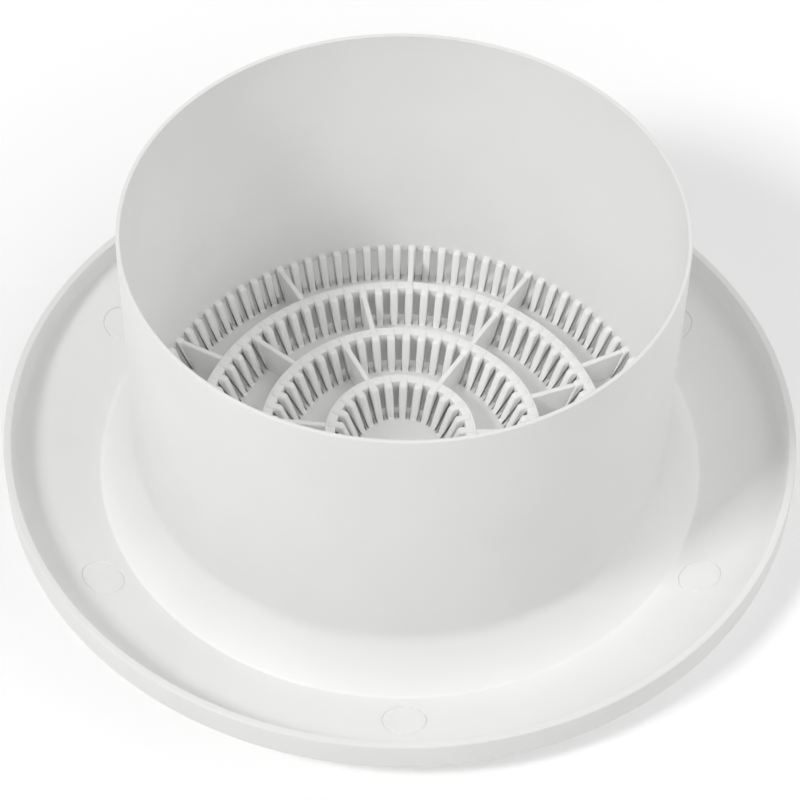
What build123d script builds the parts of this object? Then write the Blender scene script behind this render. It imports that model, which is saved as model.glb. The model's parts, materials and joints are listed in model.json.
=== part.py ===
"""Round ceiling vent cover: one white plastic moulding.

A dished flange seats on the ceiling by its raised lip, and a plain collar stands up into the duct.
Inside the collar a grille of concentric louvres closes the opening: each ring rises from a flat
trough to a rib, and the sloping side of the ring is cut into bars so that air passes between them.
Thin radial webs stiffen the troughs.

The origin is on the axis, in the ceiling plane that the lip seats against. +Z points up the duct,
and bar 0 of every ring stands on +Y.
"""

import os
from math import cos, radians, sin, tan

from build123d import *

# Driving dimensions, in millimetres and degrees

# Collar: slips inside a 150 mm duct
COLLAR_OD = 148.0
COLLAR_WALL = 1.2
COLLAR_HEIGHT = 76.0

# Flange: dished, deepest where it meets the flare under the collar
FLANGE_OD = 220.0
FLANGE_WALL = 2.5
FLANGE_SLOPE = 19.4
LIP_HEIGHT = 8.9
LIP_WIDTH = 2.3

# Flare: the cone that carries the collar
FLARE_OD = 168.6
FLARE_ANGLE = 50.5
FLARE_WALL = 2.0
FLARE_BEVEL = 2.4
FACE_LAND = 2.4

# Louvre rings
RINGS = 4
LOUVRE_DEPTH = 9.4
RIB_WIDTH = 2.9
COLLAR_FOOT = 2.2
FLOOR_WALL = 2.0

# Bars: they lean in from each rib to the trough, and the slots are the gaps between them
BARS_PER_STEP = 25
BAR_WIDTH = 2.1
BAR_DEPTH = 1.6
BAR_LEAN = 20.5
BAR_TREAD = 0.7
BAR_LEDGE = 0.2

# Radial webs: angles from +Y, each moved to the nearest bar, outermost ring first
WEB_WIDTH = 1.2
WEB_DROP = 0.3
WEB_ANGLES = (
    (0, 32, 65, 94, 123, 152, 181, 211, 240, 270, 299, 331),
    (14, 53, 92, 134, 173, 211, 254, 293, 331),
    (29, 86, 148, 209, 271, 331),
)

# Derived radii and heights
collar_r = COLLAR_OD / 2
bore_r = collar_r - COLLAR_WALL
flange_r = FLANGE_OD / 2
lip_r = flange_r - LIP_WIDTH
flare_r = FLARE_OD / 2
flange_tan = tan(radians(FLANGE_SLOPE))
flare_cot = 1 / tan(radians(FLARE_ANGLE))
bar_tan = tan(radians(BAR_LEAN))
bar_run = BAR_DEPTH / cos(radians(BAR_LEAN))


def face_z(r):
    """Height of the flange's room face at radius r."""
    return -LIP_HEIGHT - (flange_r - r) * flange_tan


def back_z(r):
    """Height of the flange's duct side at radius r."""
    return face_z(r) + FLANGE_WALL / cos(radians(FLANGE_SLOPE))


floor_z = back_z(flare_r)
under_z = floor_z - FLOOR_WALL
rib_z = floor_z + LOUVRE_DEPTH
foot_z = rib_z - COLLAR_FOOT
ring_pitch = (bore_r + BAR_TREAD) / RINGS


def flare_back_r(z):
    """Radius of the flare's room side at height z."""
    return flare_r - FLARE_WALL / sin(radians(FLARE_ANGLE)) + (floor_z - z) * flare_cot


def bar_r(ring, z):
    """Radius of the leaning front of the bars in a ring, counted from the centre."""
    return ring * ring_pitch - BAR_TREAD - (rib_z - z) * bar_tan


def floor_r(ring):
    """Outer radius of the trough floor that the bars of a ring stand on."""
    return bar_r(ring, floor_z) + bar_run + BAR_LEDGE


# The land round the grille is the lowest part: there the face and the flare are FACE_LAND apart
land_span = face_z(0) + flange_tan * (flare_back_r(0) + FACE_LAND)
land_z = land_span / (1 + flange_tan * flare_cot)


def turned(outline):
    """Solid of revolution from a closed outline of (radius, height) points."""
    section = make_face(Polyline([(r, 0, z) for r, z in outline], close=True))
    return revolve(section, Axis.Z)


def shell():
    """Flange, flare and collar."""
    land_r = flare_back_r(land_z)
    flare_top_z = floor_z + (flare_r - collar_r) / flare_cot
    bevel_r = collar_r + FLARE_BEVEL * cos(radians(FLARE_ANGLE))
    bevel_z = flare_top_z - FLARE_BEVEL * sin(radians(FLARE_ANGLE))
    return turned([
        (bore_r, COLLAR_HEIGHT),
        (collar_r, COLLAR_HEIGHT),
        (collar_r, flare_top_z + FLARE_BEVEL),
        (bevel_r, bevel_z),
        (flare_r, floor_z),
        (lip_r, back_z(lip_r)),
        (lip_r, 0),
        (flange_r, 0),
        (flange_r, -LIP_HEIGHT),
        (land_r + FACE_LAND, land_z),
        (land_r, land_z),
        (flare_back_r(foot_z), foot_z),
        (bore_r, foot_z),
    ])


def trough(ring):
    """Floor inside the bars of a ring, with the next rib standing on the floor's inner edge.

    The rib's opening is a polygon with a corner behind each bar, so the slots end square.
    """
    floor = [(floor_r(ring), floor_z), (floor_r(ring), under_z)]
    if ring == 1:
        return turned([(0, floor_z), *floor, (0, under_z)])
    rib_in = (ring - 1) * ring_pitch
    rib_out = rib_in + RIB_WIDTH
    outline = [(rib_in - BAR_TREAD, rib_z), (rib_out, rib_z), (rib_out, floor_z), *floor]
    blank = turned([*outline, (rib_in - BAR_TREAD, under_z)])
    opening = RegularPolygon(rib_in, BARS_PER_STEP * (ring - 1), major_radius=False, rotation=90)
    return blank - Pos(0, 0, under_z) * extrude(opening, rib_z - under_z)


def bar(ring):
    """One bar of a ring on +X, let into the rib above it and the floor below it."""
    seat = rib_z - COLLAR_FOOT / 2
    sole = floor_z - FLOOR_WALL / 2
    outer = ring * ring_pitch + RIB_WIDTH / 3
    tread = [(bar_r(ring, rib_z), 0, rib_z), (outer, 0, rib_z)]
    if ring == RINGS:
        tread = [(bar_r(ring, rib_z + COLLAR_FOOT / 2), 0, rib_z + COLLAR_FOOT / 2)]
    side = make_face(Polyline([
        (bar_r(ring, sole), 0, sole),
        *tread,
        (outer, 0, seat),
        (bar_r(ring, seat) + bar_run, 0, seat),
        (bar_r(ring, sole) + bar_run, 0, sole),
    ], close=True))
    return extrude(side, BAR_WIDTH / 2, both=True)


def bars():
    """The bars of every ring; bar 0 stands on +Y."""
    copies = []
    for ring in range(1, RINGS + 1):
        count = BARS_PER_STEP * ring
        first = bar(ring)
        copies += [Rot(0, 0, 90 + i * 360 / count) * first for i in range(count)]
    return copies


def web(ring):
    """Plate across the trough of a ring, on +X, let into the ribs, a bar and the floor round it."""
    top = rib_z - WEB_DROP
    seat = rib_z - COLLAR_FOOT / 2
    sole = floor_z - FLOOR_WALL / 2
    inner = (ring - 1) * ring_pitch + RIB_WIDTH / 2
    outer = ring * ring_pitch + RIB_WIDTH / 3
    side = make_face(Polyline([
        (inner, 0, sole),
        (inner, 0, top),
        (outer, 0, top),
        (outer, 0, seat),
        (bar_r(ring, seat) + bar_run / 2, 0, seat),
        (bar_r(ring, sole) + bar_run / 2, 0, sole),
    ], close=True))
    return extrude(side, WEB_WIDTH / 2, both=True)


def webs():
    """The webs of every ring that has a rib inside it."""
    plates = []
    for ring, angles in zip(range(RINGS, 1, -1), WEB_ANGLES):
        step = 360 / (BARS_PER_STEP * ring)
        plate = web(ring)
        plates += [Rot(0, 0, 90 + round(angle / step) * step) * plate for angle in angles]
    return plates


troughs = [trough(ring) for ring in range(1, RINGS + 1)]
vent_cover = shell() + (troughs + bars() + webs())

os.makedirs("parts", exist_ok=True)
export_step(vent_cover, "parts/vent_cover.step")
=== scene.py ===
"""Looks of the round ceiling vent cover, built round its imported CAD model.

The moulding is made again as one finer mesh in the place of its CAD node. It has the roundings that
the solids leave out, on the rim, the lip, the flange and the louvre bars, and the round marks of the
mould's pins. Lengths are in millimetres unless a heading says otherwise.
"""

import json
from math import cos, pi, radians, sin, tan

import bmesh
import bpy
from mathutils import Matrix, Vector


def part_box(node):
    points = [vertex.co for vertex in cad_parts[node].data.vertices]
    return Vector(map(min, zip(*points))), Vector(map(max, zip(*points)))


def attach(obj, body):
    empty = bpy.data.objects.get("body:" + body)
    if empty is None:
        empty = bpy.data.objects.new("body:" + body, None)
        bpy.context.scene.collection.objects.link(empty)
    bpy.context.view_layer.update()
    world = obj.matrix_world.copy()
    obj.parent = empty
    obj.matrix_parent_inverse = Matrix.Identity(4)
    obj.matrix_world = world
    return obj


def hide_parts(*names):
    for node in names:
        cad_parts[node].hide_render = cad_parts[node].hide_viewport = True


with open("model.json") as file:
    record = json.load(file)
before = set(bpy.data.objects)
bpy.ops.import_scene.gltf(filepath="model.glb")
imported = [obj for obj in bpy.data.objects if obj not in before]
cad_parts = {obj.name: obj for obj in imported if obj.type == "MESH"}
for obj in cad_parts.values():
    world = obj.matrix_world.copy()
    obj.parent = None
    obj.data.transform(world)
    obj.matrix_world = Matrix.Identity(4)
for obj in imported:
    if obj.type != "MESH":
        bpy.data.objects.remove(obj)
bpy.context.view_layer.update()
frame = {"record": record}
NODE = "vent_cover"
MM = 0.001

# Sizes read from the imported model
node_low, node_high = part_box(NODE)
mounts = {mount["name"]: mount for mount in frame["record"]["mounts"]}
collar_r = mounts["collar"]["dims"]["r_mm"]
flange_r = node_high.x / MM
rim_z = node_high.z / MM
land_z = node_low.z / MM

# Sizes shared with the CAD model
COLLAR_WALL = 1.2
FLANGE_WALL = 2.5
FLANGE_SLOPE = radians(19.4)
LIP_HEIGHT = 8.9
LIP_WIDTH = 2.3
FLARE_R = 84.3
FLARE_ANGLE = radians(50.5)
FLARE_WALL = 2.0
FACE_LAND = 2.4
RINGS = 4
LOUVRE_DEPTH = 9.4
RIB_WIDTH = 2.9
COLLAR_FOOT = 2.2
FLOOR_WALL = 2.0
BARS_PER_STEP = 25
BAR_DEPTH = 1.6
BAR_LEAN = radians(20.5)
BAR_TREAD = 0.7
BAR_LEDGE = 0.2
WEB_DROP = 0.3
WEB_ANGLES = (
    (0, 32, 65, 94, 123, 152, 181, 211, 240, 270, 299, 331),
    (14, 53, 92, 134, 173, 211, 254, 293, 331),
    (29, 86, 148, 209, 271, 331),
)

# Bars and webs as the photograph shows them, bolder than in the solids
BAR_WIDTH = 2.3
BAR_LEAD = 1.5
BAR_CROWN = 0.3
BAR_REACH = 2.03
BAR_SOLE = 1.4
TOE_FALL = 0.02
FLOOR_SETBACK = 1.2
WEB_WIDTH = 1.6

# Roundings of the real moulding
RIM_ROUND = 0.45
LIP_ROUND = 0.5
COVE_ROUND = 1.5
FACE_ROUND = 1.2
LAND_ROUND = 0.6
FLARE_ROUND = 6.7
FLARE_FOOT_ROUND = 0.8
RIB_ROUND = 0.45
SLOT_ROUND = 0.25
WALL_FOOT_ROUND = 0.9
NOSE_ROUND = 1.3
FOOT_ROUND = 1.0
BAR_EDGE = 0.55
WEB_EDGE = 0.5

# Round marks of the mould's pins, on the flange
MARKS = 6
MARK_R = 5.8
MARK_CIRCLE_R = 93.1
MARK_START = radians(93.4)
MARK_GROOVE = 0.23
MARK_DEPTH = 0.47
MARK_SINK = 0.12
BAND_HALF = 7.1
BAND_ROWS = 8
PATCH_HALF = 5

# Fineness of the mesh
SPIN_STEPS = 300
DISC_STEPS = 100
RIB_STEPS = 50
ARC_STEPS = 5
EDGE_STEPS = 3
MERGE_DISTANCE = 0.002
SHARP_ANGLE = radians(38)

# Plastic: colours, roughness, and the widths of its clouds, gloss patches and grain
CLOUD_COLOURS = ("F6F6F5", "F9F9F8")
CLOUD_WIDTH = 28.0
GLOSS_ROUGHNESS = (0.4, 0.48)
GLOSS_WIDTH = 9.0
GRAIN_WIDTH = 0.5
GRAIN_HEIGHT = 0.02
GRAIN_STRENGTH = 0.12
SPECULAR_LEVEL = 0.4
NOISE_RANGE = (0.3, 0.7)

# Floor: its gap under the cover, half its width, and how it glows under the cover (painted light from
# below) and far off
FLOOR_COLOUR = "FCFCFC"
FLOOR_GAP = 0.05
FLOOR_HALF = 8000.0
NEAR_GLOW = 0.15
FAR_GLOW = 0.75
FAR_REACH = 800.0

# Soft lights round the cover: degrees from +X, degrees up, size in metres, and watts
LIGHTS = {
    "key": (220, 46, 0.3, 9.2),
    "left_back": (150, 58, 1.0, 1.2),
    "back": (90, 50, 1.0, 1.0),
    "right_back": (30, 45, 1.0, 3.6),
    "right": (340, 45, 1.0, 3.4),
    "front_right": (300, 45, 1.0, 1.4),
}
LIGHT_DISTANCE = 1500.0
WORLD_STRENGTH = 0.23

# Soft ball of light in the mouth of the collar, below its rim
FILL_PLACE = (14.0, 0.0, 55.0)
FILL_R = 20.0
FILL_WATTS = 0.0125

# The photograph's camera, fitted to the circles of the rim, lip and flange
PHOTO_PX = 800
FOCAL_PX = 2610.3
AXIS_PX = (412.9, 397.7)
CAMERA_DISTANCE = 721.1
CAMERA_ELEVATION = radians(48.73)
CAMERA_ROLL = radians(1.404)
CAMERA_TURN = radians(1.5)
CAMERA_TARGET = (3.23, 0.0, 8.11)
CAMERA_CLIP = 10.0
SENSOR = 36.0

# Heights and radii that follow from the sizes
bore_r = collar_r - COLLAR_WALL
lip_r = flange_r - LIP_WIDTH
bar_run = BAR_DEPTH / cos(BAR_LEAN)
ring_pitch = (bore_r + BAR_TREAD) / RINGS


def back_z(r):
    """Height of the flange's duct side at radius r."""
    return -LIP_HEIGHT - (flange_r - r) * tan(FLANGE_SLOPE) + FLANGE_WALL / cos(FLANGE_SLOPE)


floor_z = back_z(FLARE_R)
under_z = floor_z - FLOOR_WALL
rib_z = floor_z + LOUVRE_DEPTH
foot_z = rib_z - COLLAR_FOOT


def flare_back_r(z):
    """Radius of the flare's room side at height z."""
    return FLARE_R - FLARE_WALL / sin(FLARE_ANGLE) + (floor_z - z) / tan(FLARE_ANGLE)


def bar_r(ring, z):
    """Radius of the leaning front of the bars in a ring, counted from the centre."""
    return ring * ring_pitch - BAR_TREAD - (rib_z - z) * tan(BAR_LEAN)


class Shape:
    """Points and faces gathered for one mesh."""

    def __init__(self):
        self.points = []
        self.faces = []
        self.flat = set()

    def add(self, points):
        """Adds points and returns the number of the first."""
        first = len(self.points)
        self.points += points
        return first


def rounded(corners):
    """Outline of (radius, height) points from corners that each have a rounding."""
    outline = []
    for i, (r, z, rounding) in enumerate(corners):
        here = Vector((r, z))
        if not rounding:
            outline.append(here)
            continue
        before = (Vector(corners[i - 1][:2]) - here).normalized()
        after = (Vector(corners[(i + 1) % len(corners)][:2]) - here).normalized()
        half = before.angle(after) / 2
        middle = here + (before + after).normalized() * rounding / sin(half)
        start = here + before * rounding / tan(half) - middle
        end = here + after * rounding / tan(half) - middle
        sweep = pi - 2 * half
        for step in range(ARC_STEPS + 1):
            part = sweep * step / ARC_STEPS
            outline.append(middle + (start * sin(sweep - part) + end * sin(part)) / sin(sweep))
    return outline


def spin(shape, outline, steps, start=0.0, closed=True):
    """Turns an outline about the axis."""
    count = len(outline)
    first = shape.add([
        (p.x * cos(start + 2 * pi * i / steps), p.x * sin(start + 2 * pi * i / steps), p.y)
        for i in range(steps) for p in outline
    ])
    for i in range(steps):
        here, there = first + i * count, first + (i + 1) % steps * count
        for j in range(count if closed else count - 1):
            k = (j + 1) % count
            shape.faces.append((here + j, there + j, there + k, here + k))


def slab(shape, outline, width, edge, angle):
    """Plate of the given width on an outline of (radius, height) points, with rounded sides."""
    count = len(outline)
    turn = sum(outline[i - 1].x * outline[i].y - outline[i].x * outline[i - 1].y for i in range(count))
    inward = []
    for i in range(count):
        before = (outline[i] - outline[i - 1]).normalized()
        after = (outline[(i + 1) % count] - outline[i]).normalized()
        along = (before + after).normalized()
        inward.append(Vector((-along.y, along.x)) if turn > 0 else Vector((along.y, -along.x)))
    arcs = [pi / 2 * step / EDGE_STEPS for step in range(EDGE_STEPS + 1)]
    layers = [(-1, arc) for arc in reversed(arcs)] + [(1, arc) for arc in arcs]
    rows = []
    for side, arc in layers:
        y = side * (width / 2 - edge + edge * sin(arc))
        inset = edge * (1 - cos(arc))
        moved = [p + n * inset for p, n in zip(outline, inward)]
        rows.append(shape.add([
            (p.x * cos(angle) - y * sin(angle), p.x * sin(angle) + y * cos(angle), p.y) for p in moved
        ]))
    for here, there in zip(rows, rows[1:]):
        for j in range(count):
            k = (j + 1) % count
            shape.faces.append((here + j, there + j, there + k, here + k))
    shape.flat |= {len(shape.faces), len(shape.faces) + 1}
    shape.faces.append(tuple(range(rows[0], rows[0] + count)))
    shape.faces.append(tuple(reversed(range(rows[-1], rows[-1] + count))))


def shell(shape):
    """Flange, flare and collar, but for the band of the flange that has the pin marks."""
    land_r = flare_back_r(land_z)
    flare_top_z = floor_z + (FLARE_R - collar_r) * tan(FLARE_ANGLE)
    band_in, band_out = MARK_CIRCLE_R - BAND_HALF, MARK_CIRCLE_R + BAND_HALF
    outline = rounded([
        (band_out, back_z(band_out), 0),
        (lip_r, back_z(lip_r), COVE_ROUND),
        (lip_r, 0, LIP_ROUND),
        (flange_r, 0, LIP_ROUND),
        (flange_r, -LIP_HEIGHT, FACE_ROUND),
        (land_r + FACE_LAND, land_z, LAND_ROUND),
        (land_r, land_z, LAND_ROUND),
        (flare_back_r(foot_z), foot_z, LAND_ROUND),
        (bore_r, foot_z, SLOT_ROUND),
        (bore_r, rim_z, RIM_ROUND),
        (collar_r, rim_z, RIM_ROUND),
        (collar_r, flare_top_z, FLARE_ROUND),
        (FLARE_R, floor_z, FLARE_FOOT_ROUND),
        (band_in, back_z(band_in), 0),
    ])
    spin(shape, outline, SPIN_STEPS, MARK_START, closed=False)


def on_flange(r, angle, depth=0.0):
    """Point on the flange's duct side, sunk by depth."""
    return (r * cos(angle), r * sin(angle), back_z(r) - depth)


def mark_band(shape):
    """Band of the flange with a round sunk mark inside each patch of the grid."""
    columns = [MARK_START + 2 * pi * i / SPIN_STEPS for i in range(SPIN_STEPS)]
    rows = [MARK_CIRCLE_R - BAND_HALF + 2 * BAND_HALF * j / BAND_ROWS for j in range(BAND_ROWS + 1)]
    first = shape.add([on_flange(r, angle) for angle in columns for r in rows])

    def corner(i, j):
        return first + i % SPIN_STEPS * len(rows) + j

    pitch = SPIN_STEPS // MARKS
    for i in range(SPIN_STEPS):
        if (i + PATCH_HALF) % pitch < 2 * PATCH_HALF:
            continue
        for j in range(BAND_ROWS):
            shape.faces.append((corner(i, j), corner(i + 1, j), corner(i + 1, j + 1), corner(i, j + 1)))
    for mark in range(MARKS):
        low, high = mark * pitch - PATCH_HALF, mark * pitch + PATCH_HALF
        ring = [corner(i, 0) for i in range(low, high)]
        ring += [corner(high, j) for j in range(BAND_ROWS)]
        ring += [corner(i, BAND_ROWS) for i in range(high, low, -1)]
        ring += [corner(low, j) for j in range(BAND_ROWS, 0, -1)]
        pin_mark(shape, ring, MARK_START + 2 * pi * mark / MARKS)


def pin_mark(shape, ring, angle):
    """Fills one patch of the band: a fine groove round a disc that lies slightly low."""
    middle = Vector((MARK_CIRCLE_R, 0))
    local = Matrix.Rotation(-angle, 3, "Z")
    ways = []
    for number in ring:
        place = local @ Vector(shape.points[number])
        ways.append((Vector((place.x, place.y)) - middle).normalized())
    groove = (
        (MARK_R + 2 * MARK_GROOVE, 0),
        (MARK_R + MARK_GROOVE, 0),
        (MARK_R, MARK_DEPTH),
        (MARK_R - MARK_GROOVE, MARK_SINK),
        (MARK_R - 3 * MARK_GROOVE, MARK_SINK),
        (MARK_R / 2, MARK_SINK),
    )
    outer = ring
    for size, depth in groove:
        points = []
        for way in ways:
            place = middle + Vector((way.x * cos(FLANGE_SLOPE), way.y)) * size
            points.append(on_flange(place.length, angle + place.angle_signed(Vector((1, 0))), depth))
        start = shape.add(points)
        inner = list(range(start, start + len(ring)))
        for i in range(len(ring)):
            k = (i + 1) % len(ring)
            shape.faces.append((outer[i], outer[k], inner[k], inner[i]))
        outer = inner
    centre = shape.add([on_flange(MARK_CIRCLE_R, angle, MARK_SINK)])
    for i in range(len(ring)):
        shape.faces.append((outer[i], outer[(i + 1) % len(ring)], centre))


def trough(shape, ring):
    """Floor inside the bars of a ring, with the next rib on the floor's inner edge."""
    floor_r = bar_r(ring, floor_z) + bar_run + BAR_LEDGE - FLOOR_SETBACK
    floor = [(floor_r, floor_z, SLOT_ROUND), (floor_r, under_z, SLOT_ROUND)]
    if ring == 1:
        spin(shape, rounded([(0, floor_z, 0), *floor, (0, under_z, 0)]), DISC_STEPS)
        return
    rib_in = (ring - 1) * ring_pitch
    rib_out = rib_in + RIB_WIDTH
    outline = rounded([
        (rib_in, rib_z, SLOT_ROUND),
        (rib_out, rib_z, RIB_ROUND),
        (rib_out, floor_z, WALL_FOOT_ROUND),
        *floor,
        (rib_in, under_z, SLOT_ROUND),
    ])
    spin(shape, outline, RIB_STEPS * (ring + 1))


def bars(shape, ring):
    """The bars of a ring: each runs over its rib, round a nose and down to a hollowed foot."""
    crown = rib_z + BAR_CROWN
    head = ring * ring_pitch + BAR_REACH
    if ring == RINGS:
        crown = rib_z
        head = bore_r + COLLAR_WALL / 2
    seat = rib_z - COLLAR_FOOT / 2
    sole = floor_z - BAR_SOLE
    toe = bar_r(ring, floor_z) - BAR_LEAD - FOOT_ROUND
    outline = rounded([
        (head, seat, 0),
        (head, crown, BAR_CROWN),
        (bar_r(ring, crown) - BAR_LEAD, crown, NOSE_ROUND),
        (bar_r(ring, floor_z) - BAR_LEAD, floor_z, FOOT_ROUND),
        (toe, floor_z - TOE_FALL, 0),
        (toe, sole, 0),
        (bar_r(ring, sole) + bar_run, sole, 0),
        (bar_r(ring, seat) + bar_run, seat, 0),
    ])
    count = BARS_PER_STEP * ring
    for i in range(count):
        slab(shape, outline, BAR_WIDTH, BAR_EDGE, pi / 2 + 2 * pi * i / count)


def webs(shape, ring, angles):
    """Plates across the trough of a ring, each on the bar nearest to its angle."""
    top = rib_z - WEB_DROP
    sole = floor_z - FLOOR_WALL / 2
    seat = rib_z - COLLAR_FOOT / 2
    inner = (ring - 1) * ring_pitch + RIB_WIDTH / 2
    outer = ring * ring_pitch + RIB_WIDTH / 3
    corners = [
        (inner, sole),
        (inner, top),
        (outer, top),
        (outer, seat),
        (bar_r(ring, seat) + bar_run / 2, seat),
        (bar_r(ring, sole) + bar_run / 2, sole),
    ]
    outline = [Vector(place) for place in corners]
    step = 360 / (BARS_PER_STEP * ring)
    for angle in angles:
        slab(shape, outline, WEB_WIDTH, WEB_EDGE, radians(90 + round(angle / step) * step))


def moulding():
    """The whole cover as one mesh object."""
    shape = Shape()
    shell(shape)
    mark_band(shape)
    for ring in range(1, RINGS + 1):
        trough(shape, ring)
        bars(shape, ring)
    for ring, angles in zip(range(RINGS, 1, -1), WEB_ANGLES):
        webs(shape, ring, angles)
    mesh = bpy.data.meshes.new("vent_cover_moulding")
    mesh.from_pydata([[value * MM for value in point] for point in shape.points], [], shape.faces)
    work = bmesh.new()
    work.from_mesh(mesh)
    for face in work.faces:
        face.smooth = face.index not in shape.flat
    bmesh.ops.remove_doubles(work, verts=work.verts, dist=MERGE_DISTANCE * MM)
    bmesh.ops.recalc_face_normals(work, faces=work.faces)
    for edge in work.edges:
        edge.smooth = edge.calc_face_angle(0) < SHARP_ANGLE
    work.to_mesh(mesh)
    work.free()
    cover = bpy.data.objects.new("vent_cover_moulding", mesh)
    bpy.context.scene.collection.objects.link(cover)
    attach(cover, "root")
    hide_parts(NODE)
    return cover


def linear(code):
    """Linear colour from an sRGB hex code."""
    channels = [int(code[i:i + 2], 16) / 255 for i in (0, 2, 4)]
    return [c / 12.92 if c <= 0.04045 else ((c + 0.055) / 1.055) ** 2.4 for c in channels] + [1.0]


def node(tree, kind, inputs=None, **settings):
    """Adds a shader node, sets its properties and inputs, and returns it."""
    made = tree.nodes.new(kind)
    for name, value in settings.items():
        setattr(made, name, value)
    for name, value in (inputs or {}).items():
        if isinstance(value, bpy.types.NodeSocket):
            tree.links.new(value, made.inputs[name])
        else:
            made.inputs[name].default_value = value
    return made


def moulded_plastic():
    """White injection-moulded plastic: satin and faintly cloudy, with the grain of a spark-eroded mould.

    The grain is drawn coarser than the real one, so that it shows.
    """
    material = bpy.data.materials.new("injection_moulded_white_plastic")
    material.use_nodes = True
    tree = material.node_tree
    shader = tree.nodes["Principled BSDF"]
    place = node(tree, "ShaderNodeTexCoord").outputs["Object"]
    cloud = node(tree, "ShaderNodeTexNoise", {
        "Vector": place, "Scale": 1 / (CLOUD_WIDTH * MM), "Detail": 3.0,
    })
    tint = node(tree, "ShaderNodeValToRGB", {"Fac": cloud.outputs["Fac"]})
    for stop, position, colour in zip(tint.color_ramp.elements, NOISE_RANGE, CLOUD_COLOURS):
        stop.position = position
        stop.color = linear(colour)
    patch = node(tree, "ShaderNodeTexNoise", {
        "Vector": place, "Scale": 1 / (GLOSS_WIDTH * MM), "Detail": 2.0,
    })
    gloss = node(tree, "ShaderNodeMapRange", {
        "Value": patch.outputs["Fac"], "From Min": NOISE_RANGE[0], "From Max": NOISE_RANGE[1],
        "To Min": GLOSS_ROUGHNESS[0], "To Max": GLOSS_ROUGHNESS[1],
    })
    grain = node(tree, "ShaderNodeTexNoise", {
        "Vector": place, "Scale": 1 / (GRAIN_WIDTH * MM), "Detail": 2.0,
    })
    bump = node(tree, "ShaderNodeBump", {
        "Height": grain.outputs["Fac"], "Strength": GRAIN_STRENGTH, "Distance": GRAIN_HEIGHT * MM,
    })
    tree.links.new(tint.outputs["Color"], shader.inputs["Base Color"])
    tree.links.new(gloss.outputs["Result"], shader.inputs["Roughness"])
    tree.links.new(bump.outputs["Normal"], shader.inputs["Normal"])
    shader.inputs["Specular IOR Level"].default_value = SPECULAR_LEVEL
    return material


def background_ray(tree):
    """Socket that is 1 for a ray that only shows the background, and 0 for one that lights the cover."""
    ray = node(tree, "ShaderNodeLightPath").outputs
    seen = ray["Is Camera Ray"]
    for name in ("Is Glossy Ray", "Is Transmission Ray"):
        seen = node(tree, "ShaderNodeMath", {0: seen, 1: ray[name]}, operation="MAXIMUM").outputs["Value"]
    return seen


def pale_floor():
    """Large plain floor just under the cover.

    It shows white far from the lights. The part under the cover glows faintly into the slots: painted
    light from below, though the floor is no lamp.
    """
    half = FLOOR_HALF * MM
    height = node_low.z - FLOOR_GAP * MM
    corners = [(x * half, y * half, height) for x, y in ((-1, -1), (1, -1), (1, 1), (-1, 1))]
    mesh = bpy.data.meshes.new("floor")
    mesh.from_pydata(corners, [], [(0, 1, 2, 3)])
    material = bpy.data.materials.new("pale_floor")
    material.use_nodes = True
    tree = material.node_tree
    shader = tree.nodes["Principled BSDF"]
    shader.inputs["Base Color"].default_value = linear(FLOOR_COLOUR)
    shader.inputs["Roughness"].default_value = 0.9
    shader.inputs["Specular IOR Level"].default_value = 0.0
    shader.inputs["Emission Color"].default_value = (1.0, 1.0, 1.0, 1.0)
    place = node(tree, "ShaderNodeTexCoord").outputs["Object"]
    reach = node(tree, "ShaderNodeVectorMath", {0: place}, operation="LENGTH").outputs["Value"]
    glow = node(tree, "ShaderNodeMapRange", {
        "Value": reach, "From Min": flange_r * MM, "From Max": FAR_REACH * MM,
        "To Min": NEAR_GLOW, "To Max": FAR_GLOW,
    })
    # Painted light: under the flange the floor glows for every ray, so it lights the slots, bars and
    # walls from below though it is no lamp
    painted_glow_under_cover = node(tree, "ShaderNodeMath", {0: reach, 1: flange_r * MM}, operation="LESS_THAN")
    shown = node(tree, "ShaderNodeMath", {
        0: background_ray(tree), 1: painted_glow_under_cover.outputs["Value"],
    }, operation="MAXIMUM")
    strength = node(tree, "ShaderNodeMath", {
        0: glow.outputs["Result"], 1: shown.outputs["Value"],
    }, operation="MULTIPLY")
    tree.links.new(strength.outputs["Value"], shader.inputs["Emission Strength"])
    mesh.materials.append(material)
    floor = bpy.data.objects.new("floor", mesh)
    bpy.context.scene.collection.objects.link(floor)


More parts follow.
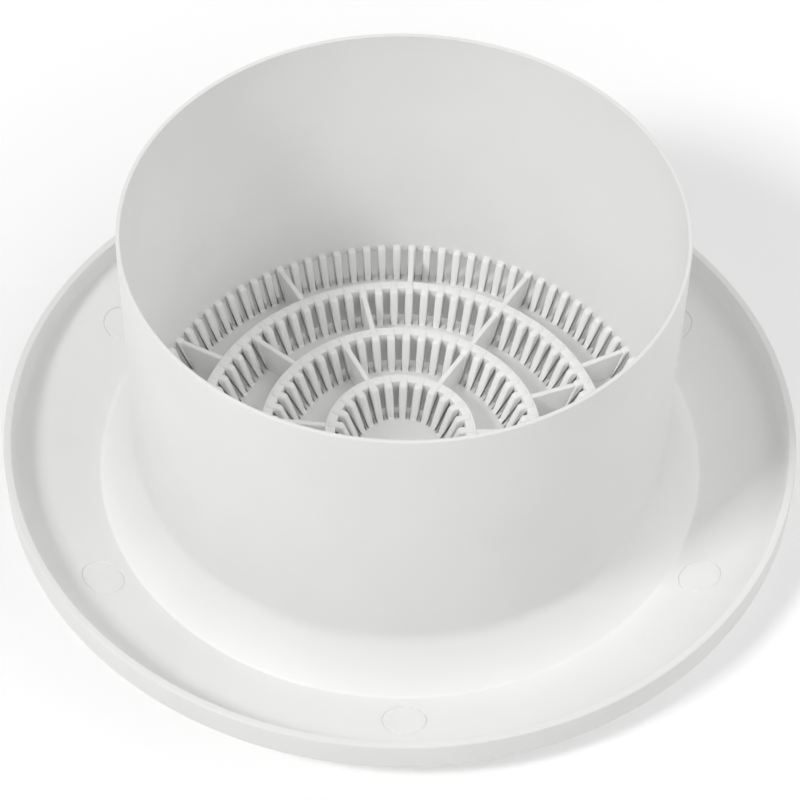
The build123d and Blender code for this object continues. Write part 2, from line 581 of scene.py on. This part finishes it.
def studio():
    """Ring of soft lights, brightest on the left, and a fill in the collar, in dim white surroundings."""
    scene = bpy.context.scene
    scene.view_settings.view_transform = "Standard"
    world = bpy.data.worlds.new("studio")
    world.use_nodes = True
    tree = world.node_tree
    backdrop = tree.nodes["Background"]
    backdrop.inputs["Color"].default_value = (1.0, 1.0, 1.0, 1.0)
    strength = node(tree, "ShaderNodeMapRange", {
        "Value": background_ray(tree), "To Min": WORLD_STRENGTH, "To Max": 1.0,
    })
    tree.links.new(strength.outputs["Result"], backdrop.inputs["Strength"])
    scene.world = world
    for name, (place, height, size, watts) in LIGHTS.items():
        light = bpy.data.lights.new(name, "AREA")
        light.size = size
        light.energy = watts
        lamp = bpy.data.objects.new(name, light)
        turn, rise = radians(place), radians(height)
        way = Vector((cos(rise) * cos(turn), cos(rise) * sin(turn), sin(rise)))
        lamp.location = way * LIGHT_DISTANCE * MM
        lamp.rotation_euler = way.to_track_quat("Z", "Y").to_euler()
        scene.collection.objects.link(lamp)
    fill = bpy.data.lights.new("collar_fill", "POINT")
    fill.shadow_soft_size = FILL_R * MM
    fill.energy = FILL_WATTS
    lamp = bpy.data.objects.new("collar_fill", fill)
    lamp.location = Vector(FILL_PLACE) * MM
    lamp.visible_camera = False
    lamp.visible_glossy = False
    scene.collection.objects.link(lamp)


def photo_camera():
    """Camera at the photograph's place."""
    camera = bpy.data.cameras.new("photo_camera")
    camera.sensor_width = SENSOR
    camera.lens = FOCAL_PX * SENSOR / PHOTO_PX
    camera.shift_x = (PHOTO_PX / 2 - AXIS_PX[0]) / PHOTO_PX
    camera.shift_y = (AXIS_PX[1] - PHOTO_PX / 2) / PHOTO_PX
    camera.clip_start = CAMERA_CLIP * MM
    back = Vector((0, -cos(CAMERA_ELEVATION), sin(CAMERA_ELEVATION)))
    place = (Vector(CAMERA_TARGET) + back * CAMERA_DISTANCE) * MM
    tilt = Matrix.Rotation(pi / 2 - CAMERA_ELEVATION, 4, "X") @ Matrix.Rotation(CAMERA_ROLL, 4, "Z")
    holder = bpy.data.objects.new("photo_camera", camera)
    holder.matrix_world = Matrix.Rotation(CAMERA_TURN, 4, "Z") @ Matrix.Translation(place) @ tilt
    bpy.context.scene.collection.objects.link(holder)
    bpy.context.scene.camera = holder


cover = moulding()
cover.data.materials.append(moulded_plastic())
pale_floor()
studio()
photo_camera()
